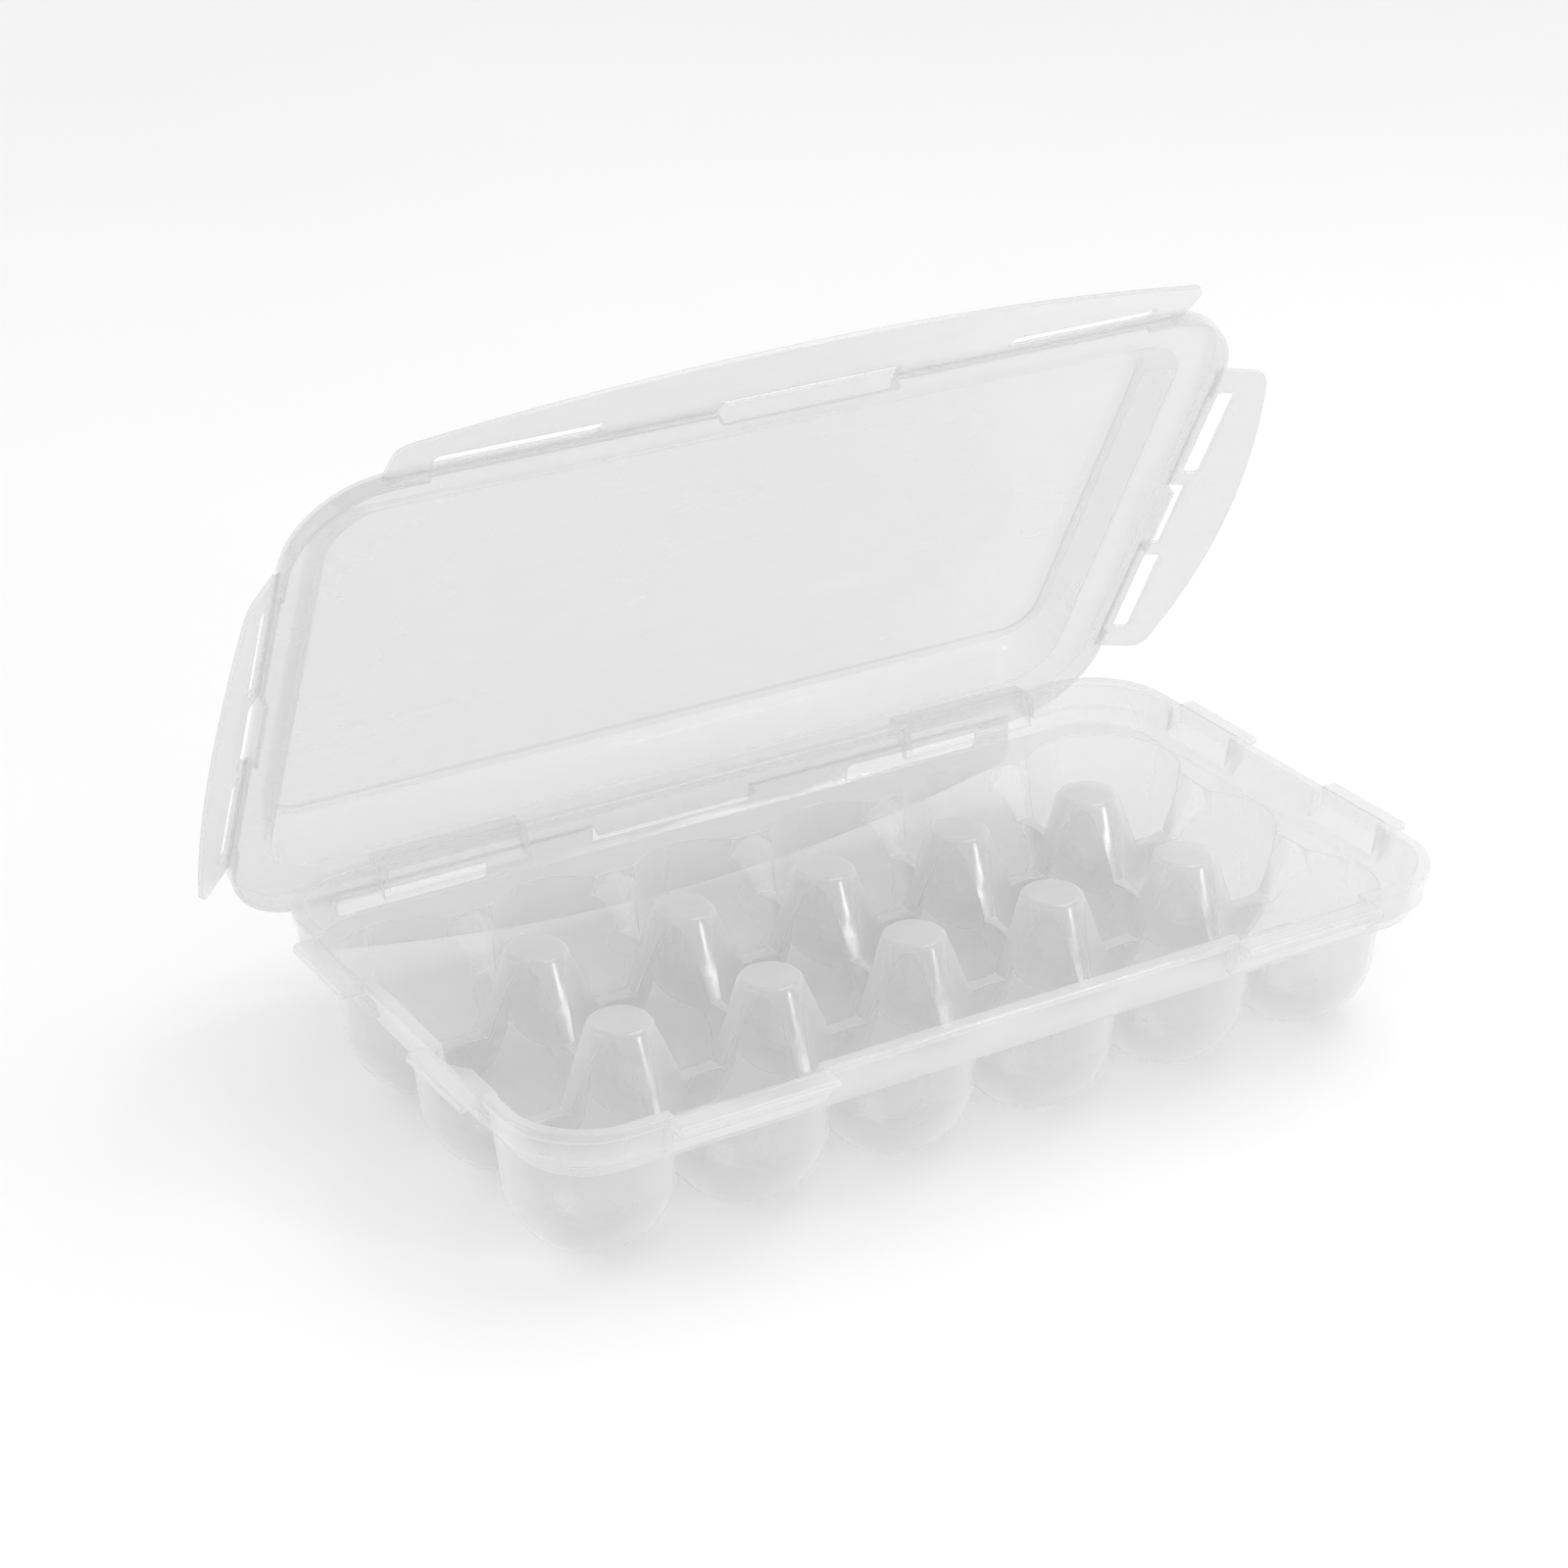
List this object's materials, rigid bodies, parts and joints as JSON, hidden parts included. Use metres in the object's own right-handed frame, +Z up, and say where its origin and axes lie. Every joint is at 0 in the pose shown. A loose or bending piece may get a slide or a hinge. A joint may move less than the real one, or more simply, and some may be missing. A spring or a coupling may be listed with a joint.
{
  "type": "egg holder tray",
  "caption": "Translucent stackable egg storage tray with round cups and tapered pillars, a clear dome lid and four snap-down flaps on living hinges.",
  "frame": {"origin": "centre of the foot of the cup just left of the tray's middle, on the floor where the cup feet rest", "axes": "+Z up, +X along the long side to the right, +Y to the back, so the front long side faces -Y"},
  "size_m": [0.3684, 0.2238, 0.2248],
  "materials": {
    "frosted_plastic": "milky translucent polypropylene, soft gloss",
    "clear_plastic": "clearer translucent polypropylene, polished",
    "flap_plastic": "translucent polypropylene sheet, soft gloss",
    "hinge_plastic": "thin living hinge, slightly whitened by flexing"
  },
  "bodies": {
    "base": {"base_tray": "frosted_plastic"},
    "lid": {"lid_shell": "clear_plastic", "front_hinge_web": "hinge_plastic", "rear_hinge_web": "hinge_plastic", "left_hinge_web": "hinge_plastic", "right_hinge_web": "hinge_plastic"},
    "front_latch": {"front_flap": "flap_plastic"},
    "rear_latch": {"rear_flap": "flap_plastic"},
    "left_latch": {"left_flap": "flap_plastic"},
    "right_latch": {"right_flap": "flap_plastic"}
  },
  "joints": [
    {"name": "lid_swing", "type": "hinge", "parent": "base", "child": "lid", "pos_m": [0.025, 0.0864, 0.0235], "axis": [1, 0, 0], "range_deg": [0, 62]},
    {"name": "front_flap_hinge", "type": "hinge", "parent": "lid", "child": "front_latch", "pos_m": [0.025, 0.03281, 0.20204], "axis": [1, 0, 0], "range_deg": [-16, 74]},
    {"name": "right_flap_hinge", "type": "hinge", "parent": "lid", "child": "right_latch", "pos_m": [0.1874, 0.07806, 0.11692], "axis": [0, 0.4695, -0.8829], "range_deg": [-18, 72]},
    {"name": "rear_flap_hinge", "type": "hinge", "parent": "lid", "child": "rear_latch", "pos_m": [0.025, 0.12332, 0.03181], "axis": [-1, 0, 0], "range_deg": [-28, 62]},
    {"name": "left_flap_hinge", "type": "hinge", "parent": "lid", "child": "left_latch", "pos_m": [-0.1374, 0.07806, 0.11692], "axis": [0, -0.4695, 0.8829], "range_deg": [-40, 50]}
  ]
}
